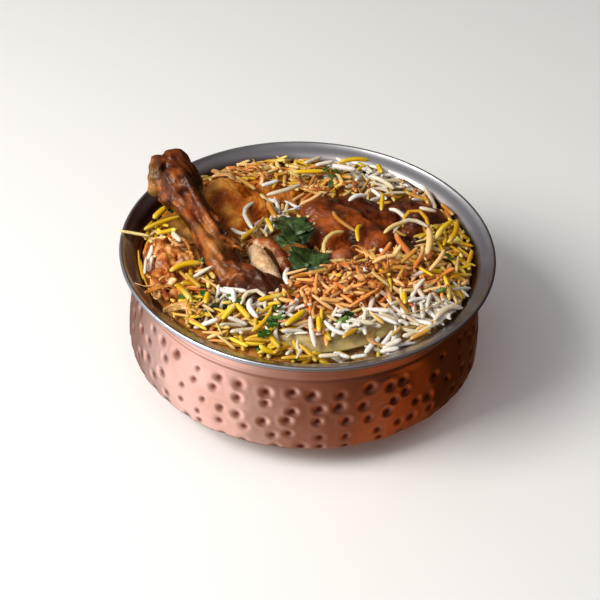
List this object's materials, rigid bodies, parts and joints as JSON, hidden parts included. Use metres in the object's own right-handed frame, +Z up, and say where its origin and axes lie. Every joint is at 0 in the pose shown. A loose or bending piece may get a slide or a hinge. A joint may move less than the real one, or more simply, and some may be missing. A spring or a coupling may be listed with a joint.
{
  "type": "biryani in a handi",
  "caption": "Chicken biryani heaped in a round hammered copper handi with a steel liner, a drumstick resting up over the rim.",
  "frame": {"origin": "middle of the flat base that the handi stands on", "axes": "+Z up along the handi's axis; +Y to the back and -X to the left, where the drumstick's knuckle points"},
  "size_m": [0.19, 0.19, 0.0987],
  "materials": {
    "hammered_copper": "brushed and hammered copper",
    "satin_steel": "satin",
    "rice": "cooked rice, yellow, white and masala orange",
    "masala_chicken": "glossy masala glaze",
    "pale_chicken": "moist cooked flesh",
    "mint": "fresh leaf",
    "bay": "cooked leaf"
  },
  "bodies": {
    "root": {"copper_shell": "hammered_copper", "steel_liner": "satin_steel", "rice_heap": "rice", "drumstick": "masala_chicken", "chicken_torn_piece": "pale_chicken", "chicken_centre": "masala_chicken", "chicken_right": "masala_chicken", "chicken_back_left": "masala_chicken", "mint_leaf_large": "mint", "mint_leaf_small": "mint", "bay_leaf": "bay"}
  },
  "joints": []
}
